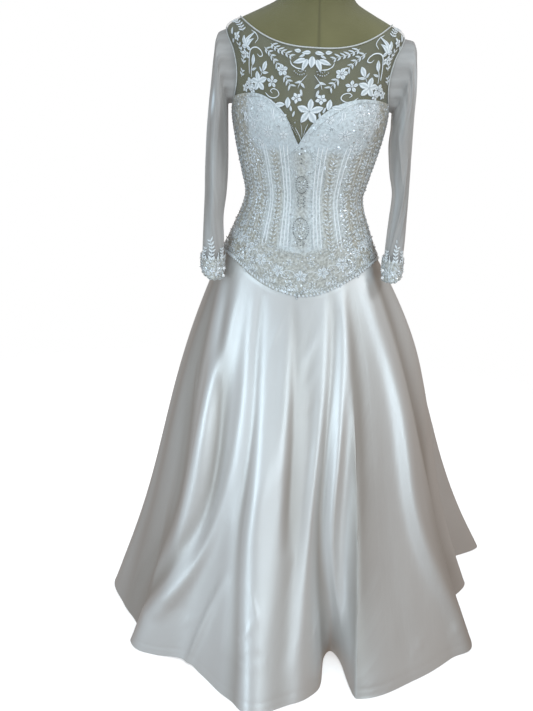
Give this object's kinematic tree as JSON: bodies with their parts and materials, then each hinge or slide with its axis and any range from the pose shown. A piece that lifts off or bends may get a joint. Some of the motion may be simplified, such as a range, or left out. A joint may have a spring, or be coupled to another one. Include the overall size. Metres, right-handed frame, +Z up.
{
  "type": "wedding dress on a dress form",
  "caption": "Long-sleeved wedding dress with a net yoke, beaded basque bodice and satin skirt with a sweep train, on a limbless dress form and stand.",
  "frame": {"origin": "centre of the underside of the stand's round base, on the floor", "axes": "+Z up the pole, the front of the dress faces -Y, +X towards the wearer's left arm"},
  "size_m": [1.0445, 1.0844, 1.498],
  "materials": {
    "form_linen": "olive linen cover of the form",
    "form_cap": "dark neck plate",
    "stand_steel": "satin black paint",
    "net": "sheer illusion net with white embroidery",
    "sleeve_net": "sheer soft tulle",
    "binding": "white corded satin binding",
    "lace": "icy white satin under beaded lace",
    "pearl": "pearl",
    "satin": "silver-white duchess satin with a soft broad sheen"
  },
  "bodies": {
    "root": {"form_torso": "form_linen", "form_neck_cap": "form_cap", "form_base": "stand_steel", "form_pole": "stand_steel", "yoke_front": "net", "yoke_back_left": "net", "yoke_back_right": "net", "neck_binding": "binding", "armhole_binding_left": "binding", "armhole_binding_right": "binding", "bodice_front": "lace", "bodice_side_front_right": "lace", "bodice_side_front_left": "lace", "bodice_side_back_right": "lace", "bodice_side_back_left": "lace", "bodice_back_right": "lace", "bodice_back_left": "lace", "back_placket": "lace", "yoke_placket": "binding", "sleeve_left": "sleeve_net", "sleeve_right": "sleeve_net", "cuff_left": "lace", "cuff_right": "lace", "cuff_button_left_1": "pearl", "cuff_button_left_2": "pearl", "cuff_button_right_1": "pearl", "cuff_button_right_2": "pearl", "skirt_front": "satin", "skirt_side_right": "satin", "skirt_side_left": "satin", "skirt_back_right": "satin", "skirt_back_left": "satin"}
  },
  "joints": []
}
